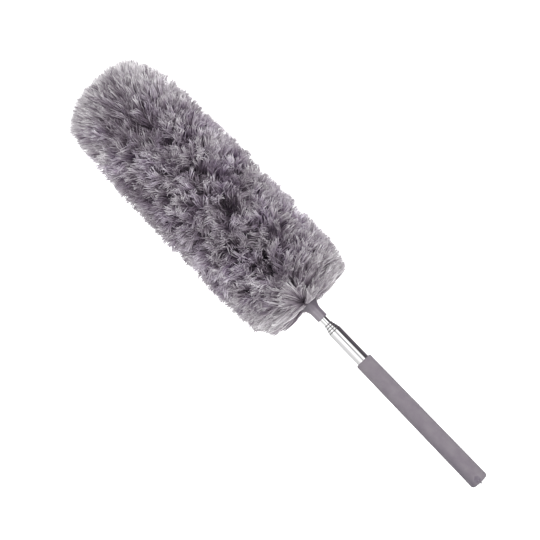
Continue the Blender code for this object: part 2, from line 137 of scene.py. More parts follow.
def put(tree, socket, value):
    """Link an output to an input, or set a number or a colour on it."""
    if isinstance(value, bpy.types.NodeSocket):
        tree.links.new(value, socket)
    else:
        socket.default_value = value if isinstance(value, float) else (*value, 1.0)


def coordinates(tree, kind="Object"):
    return tree.nodes.new("ShaderNodeTexCoord").outputs[kind]


def noise(tree, scale, detail=3.0, stretch=None, roughness=0.5):
    """A noise in object space, stretched along the row frame's axes if asked."""
    made = tree.nodes.new("ShaderNodeTexNoise")
    made.inputs["Scale"].default_value = scale
    made.inputs["Detail"].default_value = detail
    made.inputs["Roughness"].default_value = roughness
    source = coordinates(tree)
    if stretch is not None:
        mapping = tree.nodes.new("ShaderNodeMapping")
        mapping.inputs["Rotation"].default_value = (0.0, math.asin(AXIS.z), 0.0)
        mapping.inputs["Scale"].default_value = stretch
        tree.links.new(source, mapping.inputs["Vector"])
        source = mapping.outputs["Vector"]
    tree.links.new(source, made.inputs["Vector"])
    return made.outputs["Fac"]


def ramp(tree, source, stops):
    """Colours at places from 0 to 1, read by a number."""
    made = tree.nodes.new("ShaderNodeValToRGB")
    points = made.color_ramp.elements
    while len(points) < len(stops):
        points.new(0.5)
    for point, (place, colour) in zip(points, stops):
        point.position = place
        point.color = (*colour, 1.0)
    tree.links.new(source, made.inputs["Fac"])
    return made.outputs["Color"]


def gray_ramp(tree, source, stops):
    return ramp(tree, source, [(place, (level,) * 3) for place, level in stops])


def span(tree, source, low, high, from_low=0.0, from_high=1.0):
    """A number moved from one range to another; low and high may be outputs too."""
    made = tree.nodes.new("ShaderNodeMapRange")
    limits = {"From Min": from_low, "From Max": from_high, "To Min": low, "To Max": high}
    for name, value in limits.items():
        put(tree, made.inputs[name], value)
    tree.links.new(source, made.inputs["Value"])
    return made.outputs["Result"]


def between(tree, axis, start, end, low=0.0, high=1.0):
    """A number that goes from low to high between two places along X or Y."""
    apart = tree.nodes.new("ShaderNodeSeparateXYZ")
    tree.links.new(coordinates(tree), apart.inputs[0])
    return span(tree, apart.outputs[axis], low, high, start, end)


def calculate(tree, operation, first, second):
    made = tree.nodes.new("ShaderNodeMath")
    made.operation = operation
    tree.links.new(first, made.inputs[0])
    tree.links.new(second, made.inputs[1])
    return made.outputs[0]


def against(tree, operation, source, vector):
    """The distance to a fixed point, or the dot product with a fixed direction."""
    made = tree.nodes.new("ShaderNodeVectorMath")
    made.operation = operation
    made.inputs[1].default_value = vector
    tree.links.new(source, made.inputs[0])
    return made.outputs["Value"]


def mix(tree, a, b, share, blend="MIX"):
    """Two colours mixed; each may be an output or a colour, and share an output or a number."""
    made = tree.nodes.new("ShaderNodeMix")
    made.data_type = "RGBA"
    made.blend_type = blend
    for value, socket in ((share, made.inputs[0]), (a, made.inputs[6]), (b, made.inputs[7])):
        put(tree, socket, value)
    return made.outputs[2]


def darken(tree, shader, colour, share):
    """Multiply the shader's colour by another where the share is high."""
    socket = shader.inputs["Base Color"]
    under = socket.links[0].from_socket
    tree.links.new(mix(tree, under, colour, share, "MULTIPLY"), socket)


def bump(tree, shader, height, strength, distance):
    made = tree.nodes.new("ShaderNodeBump")
    made.inputs["Strength"].default_value = strength
    made.inputs["Distance"].default_value = distance
    tree.links.new(height, made.inputs["Height"])
    tree.links.new(made.outputs["Normal"], shader.inputs["Normal"])


def moulded(name, dark, light, roughness, grain, specular=0.5):
    """A moulded plastic or rubber: blotches of two close colours and a fine grain."""
    made, tree, shader = new_material(name, roughness, specular=specular)
    blotches = noise(tree, 90.0, detail=4.0)
    colour = ramp(tree, blotches, [(0.35, dark), (0.68, light)])
    tree.links.new(colour, shader.inputs["Base Color"])
    fine = noise(tree, grain, detail=2.0)
    uneven = span(tree, fine, roughness - 0.06, roughness + 0.06)
    tree.links.new(uneven, shader.inputs["Roughness"])
    bump(tree, shader, fine, 0.35, 0.05 * MM)
    return made


def grip_with_painted_shade():
    """The soft grip: darker towards its end on one side, which is painted shade, and smoother and darker
    in its dimple, where the darkening is painted shade too."""
    made = moulded("grip_rubber", (0.146, 0.127, 0.149), (0.170, 0.152, 0.170), 0.7, 1800.0)
    tree = made.node_tree
    shader = tree.nodes["Principled BSDF"]
    # Painted shade: the colour is darker towards the grip's end on the -Y side
    towards_end = between(tree, "X", 0.15, 0.28)
    towards_side = between(tree, "Y", -6 * MM, 1 * MM, 1.0, 0.0)
    painted_side_shade = calculate(tree, "MULTIPLY", towards_end, towards_side)
    darken(tree, shader, (0.76, 0.76, 0.80), painted_side_shade)

    out = TOP * math.cos(DIMPLE_TURN) + SIDE * math.sin(DIMPLE_TURN)
    centre = POLE_END + AXIS * DIMPLE_TO_END + out * GRIP_END_RADIUS
    far = against(tree, "DISTANCE", coordinates(tree), centre)
    # Painted shade in the dimple, which is made darker than the skin round it
    in_dimple = span(tree, far, 1.0, 0.0, 3.4 * MM, 4.4 * MM)
    darken(tree, shader, (0.78, 0.76, 0.82), in_dimple)
    with_edge = span(tree, far, 1.0, 0.0, 4.8 * MM, 5.6 * MM)
    grain = shader.inputs["Roughness"].links[0].from_socket
    tree.links.new(span(tree, with_edge, grain, 0.18), shader.inputs["Roughness"])
    return made


def moulded_collar():
    """The collar's glossy plastic, with painted shade that makes it darker towards its mouth."""
    dark, light = (0.140, 0.117, 0.145), (0.162, 0.141, 0.166)
    made = moulded("collar_plastic", dark, light, 0.15, 1200.0, specular=1.0)
    tree = made.node_tree
    shader = tree.nodes["Principled BSDF"]
    shader.inputs["IOR"].default_value = 1.68
    neck_x, mouth_x = [(POLE_END + AXIS * s).x for s in (COLLAR_START + COLLAR_NECK, COLLAR_END)]
    # Painted shade on the flare: the colour is multiplied darker from the neck to the mouth
    darken(tree, shader, (0.42, 0.40, 0.43), between(tree, "X", neck_x, mouth_x))
    return made


def metal(name, dark, light, roughness, stretch=None):
    """Metal with an uneven gloss and colour."""
    made, tree, shader = new_material(name, roughness, metallic=1.0)
    lines = noise(tree, 60.0, detail=4.0, stretch=stretch)
    tree.links.new(ramp(tree, lines, [(0.3, dark), (0.7, light)]), shader.inputs["Base Color"])
    uneven = span(tree, lines, roughness * 0.7, roughness * 1.4)
    tree.links.new(uneven, shader.inputs["Roughness"])
    return made


def fibre_material():
    """Fibres darkened towards the root with painted shade and pale at the tip, gray with lilac patches,
    fewer at the head's ends. The strands carry two numbers: how far along its length a point is, and the
    lock's tint, which holds painted light and shade besides random tone."""
    made, tree, shader = new_material("microfiber", 0.75, specular=0.15)
    shader.inputs["Sheen Weight"].default_value = 0.15
    shader.inputs["Sheen Roughness"].default_value = 0.5
    shader.inputs["Sheen Tint"].default_value = (1.0, 0.84, 1.0, 1.0)
    carried = {}
    for name in ("along", "tint"):
        attribute = tree.nodes.new("ShaderNodeAttribute")
        attribute.attribute_name = name
        carried[name] = attribute.outputs["Fac"]
    # Both ramps darken a strand towards its root: painted shade deep in the pile
    gray = ramp(tree, carried["along"], [
        (0.0, (0.010, 0.0066, 0.0104)), (0.45, (0.041, 0.0305, 0.0415)),
        (0.62, (0.102, 0.080, 0.102)), (0.78, (0.290, 0.253, 0.290)), (1.0, (0.53, 0.502, 0.529)),
    ])
    lilac = ramp(tree, carried["along"], [
        (0.0, (0.011, 0.0064, 0.0132)), (0.45, (0.043, 0.0283, 0.0505)),
        (0.62, (0.105, 0.0745, 0.119)), (0.78, (0.284, 0.230, 0.306)), (1.0, (0.52, 0.479, 0.54)),
    ])
    patches = noise(tree, 38.0, roughness=0.6)
    along_head = between(tree, "X", HEAD_TIP_X, HEAD_BASE_X)
    fewer = gray_ramp(tree, along_head, [(0.0, 0.22), (0.25, 0.0), (0.88, 0.0), (1.0, 0.25)])
    left = calculate(tree, "SUBTRACT", patches, fewer)
    colour = mix(tree, gray, lilac, span(tree, left, 0.0, 1.0, 0.43, 0.64))
    # The tint's painted light and shade, and its random tone, multiply the colour
    combined = tree.nodes.new("ShaderNodeCombineColor")
    channels = (("Red", 0.41, 1.62), ("Green", 0.370, 1.685), ("Blue", 0.413, 1.61))
    for channel, darkest, palest in channels:
        tree.links.new(span(tree, carried["tint"], darkest, palest), combined.inputs[channel])
    colour = mix(tree, colour, combined.outputs["Color"], 1.0, "MULTIPLY")
    tree.links.new(colour, shader.inputs["Base Color"])
    return made


DRAWN = (0.06, 8.0, 8.0)   # the chrome's faint lines run along the pole
CHROME = metal("polished_steel", (0.90, 0.895, 0.90), (0.96, 0.955, 0.96), 0.045, DRAWN)
WIRE = metal("galvanised_wire", (0.42, 0.42, 0.43), (0.62, 0.62, 0.62), 0.35)
RUBBER = grip_with_painted_shade()
COLLAR_LOOK = moulded_collar()
SHIM_LOOK = moulded("shim_plastic", (0.72, 0.72, 0.68), (0.84, 0.84, 0.80), 0.5, 1500.0)
PLUG_LOOK = moulded("plug_plastic", (0.028, 0.028, 0.031), (0.045, 0.045, 0.05), 0.5, 1500.0)
FIBRE = fibre_material()


def finish_piece(made, body, look, node):
    """Material, body and the CAD node that the piece stands for."""
    made.data.materials.clear()
    made.data.materials.append(look)
    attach(made, body)
    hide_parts(node)


def link(name, data):
    made = bpy.data.objects.new(name, data)
    bpy.context.scene.collection.objects.link(made)
    return made


# Turned pieces


def arc(centre, radius, start, end, steps=8):
    """Points of an arc in a profile's plane, angles in degrees from +radius towards +s."""
    angles = np.radians(np.linspace(start, end, steps + 1))
    return [(centre[0] + radius * math.cos(a), centre[1] + radius * math.sin(a)) for a in angles]


def turned(name, profile, segments=96, closed=True):
    """A turned mesh about the pole: (radius, s) points down its outer side, then up its inner side."""
    count = len(profile)
    angles = np.arange(segments) * TAU / segments
    points = np.array([
        (radius * math.cos(a), radius * math.sin(a), s) for radius, s in profile for a in angles
    ])
    faces = []
    for i in range(count if closed else count - 1):
        j = (i + 1) % count
        for k in range(segments):
            n = (k + 1) % segments
            faces.append((i * segments + k, j * segments + k, j * segments + n, i * segments + n))
    mesh = bpy.data.meshes.new(name)
    mesh.from_pydata(to_world(points).tolist(), [], faces)
    bm = bmesh.new()
    bm.from_mesh(mesh)
    bmesh.ops.remove_doubles(bm, verts=bm.verts, dist=1e-7)
    bmesh.ops.recalc_face_normals(bm, faces=bm.faces)
    bm.to_mesh(mesh)
    bm.free()
    mesh.shade_smooth()
    mesh.set_sharp_from_angle(angle=math.radians(32.0))
    return link(name, mesh)


def tube_profile(stage):
    """A tube's wall: a lip rolled in to the next tube, its end rounded, and the bead and flared foot.
    Rings close to the bead and the flare keep the shading of the long faces beside them straight."""
    radius, top = TUBE_RADII[stage], TUBE_TOPS[stage]
    foot = OUTER_TUBE_FOOT if stage == 0 else FOOT_S
    if stage == len(TUBE_RADII) - 1:
        lip, neck = radius, top - TUBE_WALL
        outer = arc((lip - TUBE_WALL / 2, top - TUBE_WALL / 2), TUBE_WALL / 2, 90, 0)
    else:
        lip, neck = TUBE_RADII[stage + 1] + LIP_FIT + TUBE_WALL, top - LIP_LENGTH
        roll = TUBE_WALL * 0.9
        outer = arc((lip - roll, top - roll), roll, 90, 10)
        outer += [
            (lip + (radius - lip) * math.sin(t), neck + (LIP_LENGTH - roll) * math.cos(t))
            for t in np.radians(np.linspace(15, 90, 9))
        ]
    outer += [(radius, foot + (neck - foot) * share) for share in (0.75, 0.5, 0.25)]
    if stage == 0:
        inner = [(radius - TUBE_WALL, foot), (radius - TUBE_WALL, neck), (lip - TUBE_WALL, top)]
        return outer + [(radius, foot)] + inner
    flare = TUBE_RADII[stage - 1] - TUBE_WALL - RUNNING_FIT
    beside = 0.3 * MM
    outer += [
        (radius, foot + BEAD_END + beside), (radius, foot + BEAD_END), (flare, foot + BEAD_TOP),
        (radius, foot + BEAD_START), (radius, foot + BEAD_START - beside),
        (radius, foot + FLARE_CONE_END + beside), (radius, foot + FLARE_CONE_END),
        (flare, foot + FLARE_LENGTH), (flare, foot),
    ]
    inner = [
        (flare - TUBE_WALL, foot), (flare - TUBE_WALL, foot + FLARE_LENGTH),
        (radius - TUBE_WALL, foot + FLARE_CONE_END), (radius - TUBE_WALL, neck), (lip - TUBE_WALL, top),
    ]
    return outer + inner


def add_tubes():
    bodies = ["handle", "section_2", "section_3", "section_4", "head"]
    for stage, body in enumerate(bodies):
        name = f"tube_{stage + 1}"
        made = turned(f"chrome_{name}", tube_profile(stage))
        finish_piece(made, body, CHROME, name)


def press_dimple(mesh):
    """Push the grip's skin in where the round-nosed dimple is, with a softly rounded edge."""
    points = np.empty(len(mesh.vertices) * 3)
    mesh.vertices.foreach_get("co", points)
    basis = np.array([TOP, SIDE, AXIS])
    local = (points.reshape(-1, 3) - np.array(POLE_END)) @ basis.T
    out = np.array([math.cos(DIMPLE_TURN), math.sin(DIMPLE_TURN), 0.0])
    height = local @ out
    flank = local - height[:, None] * out - np.array([0.0, 0.0, DIMPLE_TO_END])
    spread = np.minimum(np.sum(flank**2, 1), (0.85 * DIMPLE_CURVE) ** 2)
    dish = GRIP_END_RADIUS - DIMPLE_DEPTH + DIMPLE_CURVE - np.sqrt(DIMPLE_CURVE**2 - spread)
    soft = 0.14 * MM
    pressed = -soft * np.logaddexp(-height / soft, -dish / soft)
    skin = (height > 0.6 * GRIP_END_RADIUS) & (local[:, 2] < 2.5 * DIMPLE_TO_END)
    local += np.where(skin, pressed - height, 0.0)[:, None] * out
    mesh.vertices.foreach_set("co", to_world(local).ravel())


def add_grip():
    """The matte sleeve: rounded ends, the shallow dimple and the moulding nib."""
    top_round = (GRIP_TOP_RADIUS - GRIP_TOP_ROUND, GRIP_LENGTH - GRIP_TOP_ROUND)
    profile = arc(top_round, GRIP_TOP_ROUND, 90, 0)
    near_end = GRIP_END_DOME + GRIP_END_ROUND
    stations = [150 * MM, 110 * MM, 70 * MM, 40 * MM, 24 * MM]
    stations += np.linspace(16 * MM, near_end, 30).tolist()[:-1]
    for s in stations:
        share = (s - near_end) / (GRIP_LENGTH - near_end)
        profile.append((GRIP_END_RADIUS + (GRIP_TOP_RADIUS - GRIP_END_RADIUS) * share, s))
    flat = GRIP_END_RADIUS - GRIP_END_ROUND
    profile += arc((flat, near_end), GRIP_END_ROUND, 0, -88, 14)
    profile += [(flat * t, GRIP_END_DOME * t * t) for t in (0.85, 0.7, 0.5, 0.3, 0.16)]
    nib = NIB_RADIUS * 0.8
    profile += arc((0.0, -NIB_LENGTH + nib), nib, 0, -90, 5)
    inner = [
        (0.0, GRIP_END_SOLID), (GRIP_BORE, GRIP_END_SOLID), (GRIP_BORE, GRIP_LENGTH - 0.3 * MM),
    ]
    made = turned("grip", profile + inner, 168)
    press_dimple(made.data)
    finish_piece(made, "handle", RUBBER, "grip_sleeve")


def collar_radius(s):
    length = COLLAR_END - COLLAR_START - COLLAR_NECK
    rise = max(0.0, s - COLLAR_START - COLLAR_NECK) / length
    return COLLAR_NECK_RADIUS + (COLLAR_MOUTH_RADIUS - COLLAR_NECK_RADIUS) * rise**FLARE_POWER


def add_collar():
    """The trumpet collar: its outside, the socket, and the boss that holds the wire."""
    edge = COLLAR_EDGE
    outside = arc((COLLAR_MOUTH_RADIUS - edge, COLLAR_END - edge), edge, 90, 20, 5)
    steps = 26
    for i in range(1, steps):
        s = COLLAR_END - edge - (COLLAR_END - COLLAR_START - 2 * edge) * i / steps
        outside.append((collar_radius(s), s))
    outside += arc((COLLAR_NECK_RADIUS - edge, COLLAR_START + edge), edge, 0, -90, 5)
    socket = [
        (SOCKET_RADIUS, COLLAR_START), (SOCKET_RADIUS, SOCKET_END), (WIRE_BORE, SOCKET_END),
        (WIRE_BORE, BOSS_END), (BOSS_RADIUS, BOSS_END), (BOSS_RADIUS, COLLAR_WEB_END),
    ]
    inside = (COLLAR_WEB_END, 270.5 * MM, 272.2 * MM, COLLAR_END)
    cup = [(collar_radius(s) - COLLAR_RIM, s) for s in inside]
    made = turned("trumpet_collar", outside + socket + cup)
    finish_piece(made, "head", COLLAR_LOOK, "collar")


# The head. Each row pairs a strand's root with its tip: radius and s of each, in millimetres,
# from the collar's mouth round to the head's tip.
STATIONS = np.array([
    (13.0, 274.6, 32.0, 271.6), (13.1, 275.2, 43.0, 273.2), (13.6, 276.6, 51.5, 275.6),
    (15.0, 279.0, 57.0, 279.6), (18.0, 283.0, 61.5, 285.5), (23.0, 290.0, 65.0, 295.0),
    (29.0, 303.0, 67.3, 311.0), (35.0, 325.0, 68.2, 333.0), (38.0, 365.0, 68.2, 372.0),
    (38.0, 410.0, 68.2, 418.0), (38.0, 450.0, 68.0, 460.0), (38.0, 480.0, 66.5, 494.0),
    (37.0, 505.0, 65.0, 522.0), (33.5, 522.0, 63.8, 544.0), (29.0, 535.0, 62.4, 564.0),
    (23.0, 546.0, 61.0, 583.0), (15.0, 555.0, 57.0, 599.0), (8.0, 561.0, 45.0, 612.0),
    (3.5, 565.0, 24.0, 617.5), (0.5, 567.0, 0.5, 618.5),
]) * MM
TIP_RADII, TIP_PLACES = STATIONS[:, 2], STATIONS[:, 3]

# How far each station's tip is from the first one's, along the outline
STATION_STEPS = np.linalg.norm(np.diff(STATIONS[:, 2:], axis=0), axis=1)
ALONG = np.concatenate([[0.0], np.cumsum(STATION_STEPS)])

# Locks and strands
LOCK_SPACING = 5.8 * MM
STRANDS_PER_LOCK = 10
TWIST = math.radians(230)        # of the rows, per metre
SCATTER = 0.45                   # of the locks, in spacings
ROOT_SPREAD = 5.0 * MM
TIP_SPREAD = 2.2 * MM
STRAND_STEPS = np.array([0.0, 0.40, 0.62, 0.79, 0.93, 1.0])
STRAND_WIDTH = 1.25 * MM
BANDS = 8                        # pieces that the strands are shared out to

# Spreads of the leans, lengths and bends, for locks and for single strands
LOCK_LEAN, STRAND_LEAN = 6.0 * MM, 1.2 * MM
LOCK_LENGTH, STRAND_LENGTH = 3.0 * MM, 1.0 * MM
LOCK_BOW, STRAND_BOW = 2.0 * MM, 0.8 * MM
LOCK_CURL, STRAND_CURL = 5.0 * MM, 1.9 * MM
STRAYS, STRAY_LEAN = 0.04, 4 * MM

# The base, which is dished round the collar and leans over, and the fan of locks above the collar
BASE_PLANE = 268.8 * MM
BASE_RISE = 4.5 * MM
BASE_DISH = 1.8
BASE_SWEEP = 8.0 * MM
BASE_SWEEP_RADIUS = 61.6 * MM
FAN_LEAN = 26 * MM
FAN_PLACE = 286 * MM
FAN_REACH = 24 * MM

# How far the strands at the head's tip lean towards -Y
TIP_SWEEP = 4.2 * MM

# Dark partings on the side that the photograph shows: s in millimetres, the angle in degrees, depth
PARTINGS = [
    (409, 29, 1.2), (299, 12, 1.0), (341, -41, 0.8), (443, 36, 1.2), (346, 40, 1.2), (368, -13, 1.1),
    (328, 1, 1.2), (412, 54, 1.0), (467, 23, 1.0), (536, 20, 1.3), (488, -32, 0.8), (287, -22, 0.9),
    (500, 43, 0.9), (315, -26, 0.9), (384, 8, 1.0), (401, -40, 0.9), (436, -2, 1.0), (568, 25, 0.5),
    (513, 56, 0.8), (550, 22, 0.9), (514, 28, 1.0), (583, 45, 1.0), (387, 40, 0.8), (579, 9, 0.7),
    (530, -4, 0.7), (349, 16, 0.4), (592, 19, 0.5),
]
PARTING_WIDTHS = (6, 9)          # in millimetres, where the depth is 1
PARTING_PUSH = 11 * MM
PARTING_SINK = 10 * MM
# Painted shade: how much darker the tips are in a parting
PARTING_SHADE = 0.25

# Crests there, where locks stand proud, made paler with painted light
CRESTS = [
    (516, 39), (322, -17), (345, 5), (364, -16), (483, -22), (327, -38), (413, 13), (494, -7), (315, 22),
    (428, 21), (547, 2), (444, 18), (479, 41), (393, -16), (449, -8), (388, 26), (384, 53), (424, 40),
]
CREST_WIDTH = 8 * MM
CREST_PULL = 0.3
CREST_RISE = 1.5 * MM
# Painted light: how much paler the crests are
CREST_PAINTED_LIGHT = 0.22

# More of both on the sides that it doesn't show, between these s in millimetres and angles in degrees
HIDDEN_PARTINGS, HIDDEN_CRESTS = 64, 32
HIDDEN_S, HIDDEN_ANGLES = (285, 590), (75, 325)

# Slow waves in each of two sizes, by their shortest and longest length in millimetres
WAVES_EACH = 6
WAVE_LENGTHS = [(30, 75), (13, 30)]
WAVE_PUSH = 2.25 * MM
WAVE_SINK = 0.8 * MM
WAVE_SHADE = 0.035

# Tints: spread among locks and strands, and lengthwise bands that are paler or darker, by the angle and
# its half width in degrees, and how much paler in the head's middle and at its base
LOCK_TINT, STRAND_TINT = 0.10, 0.115
LIGHT_BANDS = [(-16, 14, 0.17, 0.0), (50, 15, -0.09, 0.0), (-40, 20, 0.0, 0.25)]

# The head's heart: a little wider than the strands' roots, and dark with the roots' painted shade
HEART_OVER_ROOTS = 1.5 * MM
HEART_GAP = 0.4 * MM
HEART_ALONG, HEART_TINT = 0.12, 0.4


def unit(vectors, least=1e-9):
    """Vectors brought to a length of 1, apart from those that are shorter than the least."""
    return vectors / np.maximum(np.linalg.norm(vectors, axis=-1, keepdims=True), least)


def across(vectors, forward):
    """What is left of the vectors square to the strands."""
    return vectors - forward * np.sum(vectors * forward, 1)[:, None]


def around(radius, angle, s):
    return np.stack([radius * np.cos(angle), radius * np.sin(angle), s], 1)


def rising(s, start, end):
    """From 0 at one place to 1 at another, both in millimetres, and level beyond them."""
    return np.clip((s - start * MM) / ((end - start) * MM), 0, 1)


def fading(distance, reach):
    """1 where the distance is 0, and near 0 from twice the reach on."""
    return np.exp(-((distance / reach) ** 2))


def lock_places(rng):
    """Where the locks end: length along the outline from the collar, and angle, on twisted rows."""
    rows = int(ALONG[-1] / LOCK_SPACING)
    places = []
    for row in range(rows):
        along = (row + 0.5) * ALONG[-1] / rows
        radius = np.interp(along, ALONG, TIP_RADII)
        count = max(3, round(TAU * radius / LOCK_SPACING))
        first = TWIST * np.interp(along, ALONG, TIP_PLACES)
        angles = (np.arange(count) + 0.5 * (row % 2)) * TAU / count + first
        places += [(along, angle, radius) for angle in angles]
    along, angle, radius = np.array(places).T
    ahead = rng.uniform(-SCATTER, SCATTER, len(places)) * LOCK_SPACING
    aside = rng.uniform(-SCATTER, SCATTER, len(places)) * LOCK_SPACING
    return np.clip(along + ahead, 0.0, ALONG[-1]), angle + aside / np.maximum(radius, 8 * MM)


def outline_columns(along, angle):
    """Root radius, root s, tip radius and tip s at places on the outline, the base leaning over."""
    root_radius, root_s, tip_radius, tip_s = [np.interp(along, ALONG, c) for c in STATIONS.T]
    sweep = BASE_SWEEP * np.minimum(tip_radius / BASE_SWEEP_RADIUS, 1) ** 11
    sweep *= np.exp(-np.maximum(tip_s - 290 * MM, 0) / (20 * MM))
    return root_radius, root_s, tip_radius, tip_s - sweep * np.sin(angle)


def near_ends(along):
    """Near 1 at the head's base and at its tip, where strands run long and straight, and 0 elsewhere."""
    tip_s = np.interp(along, ALONG, TIP_PLACES)
    at_base = np.exp(-(np.maximum(tip_s - BASE_PLANE, 0) / (30 * MM)) ** 1.5)
    return at_base, rising(tip_s, 560, 615)


def outline_point(s, angle):
    """A point on the head's outside, from s in millimetres and the angle in degrees."""
    s, angle = s * MM, math.radians(angle)
    radius = float(np.interp(s, TIP_PLACES, TIP_RADII))
    return np.array([radius * math.cos(angle), radius * math.sin(angle), s])


def parting_places(rng):
    """The partings in the photograph, and others spread over the sides that it doesn't show."""
    places = [(outline_point(s, angle), depth) for s, angle, depth in PARTINGS]
    for _ in range(HIDDEN_PARTINGS):
        angle = rng.uniform(*HIDDEN_ANGLES)
        places.append((outline_point(rng.uniform(*HIDDEN_S), angle), rng.uniform(0.7, 1.3)))
    return places


def crest_places(rng):
    places = [outline_point(s, angle) for s, angle in CRESTS]
    for _ in range(HIDDEN_CRESTS):
        places.append(outline_point(rng.uniform(*HIDDEN_S), rng.uniform(*HIDDEN_ANGLES)))
    return places


def lean_field(points, rng):
    """For points on the head's outside: how far each tip is pushed, how much shorter it gets and how
    much paler. Tips part round the partings, gather on the crests, and slow seeded waves bend whole
    areas one way. The paleness is painted shade in the partings, painted light on the crests and slow
    waves of tone."""
    push = np.zeros_like(points)
    shorter = np.zeros(len(points))
    paler = np.zeros(len(points))
    for centre, depth in parting_places(rng):
        away = points - centre
        reach = np.linalg.norm(away * np.array([1.0, 1.0, 0.8]), axis=1)
        share = depth * fading(reach, rng.uniform(*PARTING_WIDTHS) * MM * depth)
        outward = away / np.maximum(reach, 0.01 * MM)[:, None]
        push += outward * (share * np.minimum(reach / (3 * MM), 1.0))[:, None] * PARTING_PUSH
        shorter += share * PARTING_SINK
        paler -= share * PARTING_SHADE
    for centre in crest_places(rng):
        away = points - centre
        share = fading(np.linalg.norm(away, axis=1), CREST_WIDTH)
        push -= away * share[:, None] * CREST_PULL
        shorter -= share * CREST_RISE
        paler += share * CREST_PAINTED_LIGHT
    for lengths in WAVE_LENGTHS:
        for _ in range(WAVES_EACH):
            direction = unit(rng.normal(size=3))
            wave = TAU / (rng.uniform(*lengths) * MM)
            phase = rng.uniform(0, TAU)
            axis = unit(rng.normal(size=3))
            push += np.sin(points @ direction * wave + phase)[:, None] * axis * WAVE_PUSH
            shorter += WAVE_SINK * np.sin(points @ axis * wave * 1.7 + phase)
            paler += WAVE_SHADE * np.sin(points @ axis * wave + phase)
    return push, shorter, paler


def lock_leans(angle, radius, s, at_base, at_tip, rng):
    """How far each lock's tip is pushed, how much longer the lock is and how much paler."""
    push, shorter, paler = lean_field(around(radius, angle, s), rng)
    push += rng.normal(0, LOCK_LEAN, push.shape)
    push *= (1 - 0.6 * at_base - 0.5 * at_tip)[:, None]

    # Above the collar the locks fan out from its mouth, to the sides and towards the head
    fan = unit(np.stack([0 * s, radius * np.sin(angle), s - COLLAR_END], 1), 1 * MM)
    upward = np.clip(np.cos(angle), 0, 1)
    push += fan * (FAN_LEAN * upward * fading(s - FAN_PLACE, FAN_REACH))[:, None]
    push[:, 1] -= TIP_SWEEP * rising(s, 480, 580)
    longer = rng.normal(0, LOCK_LENGTH, len(s)) * (1 - 0.35 * (at_base + at_tip)) - shorter
    return push, longer, paler


def grown(root, tip, push, longer, disc, lock, loose, rng):
    """Centre lines from roots to tips, with the locks' leans and lengths, a slow bow and a curl at the
    tip that a lock's strands share, and each strand's own finer bends."""
    count, locks = len(root), len(push)
    reach = tip - root
    full = np.linalg.norm(reach, axis=1)
    forward = reach / full[:, None]
    sideways = push[lock] + rng.normal(0, STRAND_LEAN, (count, 3))
    stray = rng.uniform(0, 1, count) < STRAYS
    sideways[stray] += rng.normal(0, STRAY_LEAN, (int(stray.sum()), 3))
    growth = longer[lock] + rng.normal(0, STRAND_LENGTH, count) + 1.0 * MM - 3.0 * MM * disc**2
    full = np.clip(full + np.minimum(growth, 2.0 * MM), 8 * MM, None)
    aim = forward * full[:, None] + across(sideways, forward)
    aim *= (full / np.linalg.norm(aim, axis=1))[:, None]

    bow = rng.normal(0, LOCK_BOW, (locks, 3))[lock] + rng.normal(0, STRAND_BOW, (count, 3))
    curl = rng.normal(0, LOCK_CURL, (locks, 3))[lock] * loose
    curl += rng.normal(0, STRAND_CURL, (count, 3))
    phase = rng.uniform(0, TAU, (count, 1))
    size = rng.uniform(0.2, 1.1, (count, 1)) * MM * loose
    wave_axis = unit(np.cross(forward, rng.normal(size=(count, 3))))
    steps = STRAND_STEPS[None, :]
    wave = np.sin(phase + steps * 11.0) * size * np.minimum(1, steps * 3)
    lines = root[:, None, :]
    for vector, share in (
        (aim, steps), (across(bow, forward), 4 * steps * (1 - steps)),
        (across(curl, forward), steps**3), (wave_axis, wave),
    ):
        lines = lines + vector[:, None, :] * share[:, :, None]
    return lines


def keep_off_base(lines, angle, lock, rng):
    """No strand passes the dished base, which lies higher where the collar shows."""
    count = len(lines)
    base = BASE_PLANE + BASE_RISE * np.maximum(np.cos(angle), 0)
    base += rng.normal(0, 0.8 * MM, lock[-1] + 1)[lock] + rng.normal(0, 0.7 * MM, count)
    base = base[:, None] + BASE_DISH * (lines[:, :, 0] ** 2 + lines[:, :, 1] ** 2)
    soft = rng.uniform(0.8, 3.0, (count, 1)) * MM
    lines[:, :, 2] = base + soft * np.logaddexp(0, (lines[:, :, 2] - base) / soft)


def keep_in_outline(lines, tip_along, tip_s, rng):
    """Few strands stand more than a little out of the outline."""
    radius = np.hypot(lines[:, :, 0], lines[:, :, 1])
    unswept = np.interp(tip_along, ALONG, TIP_PLACES) - tip_s
    outline_s = np.clip(lines[:, :, 2] + unswept[:, None], 282 * MM, 590 * MM)
    widest = np.interp(outline_s, TIP_PLACES, TIP_RADII)
    widest += rng.uniform(0.5, 4.0, (len(lines), 1)) * MM
    kept = widest - 1.0 * MM * np.logaddexp(0, (widest - radius) / (1.0 * MM))
    lines[:, :, :2] *= (np.maximum(kept, 0) / np.maximum(radius, 0.1 * MM))[:, :, None]


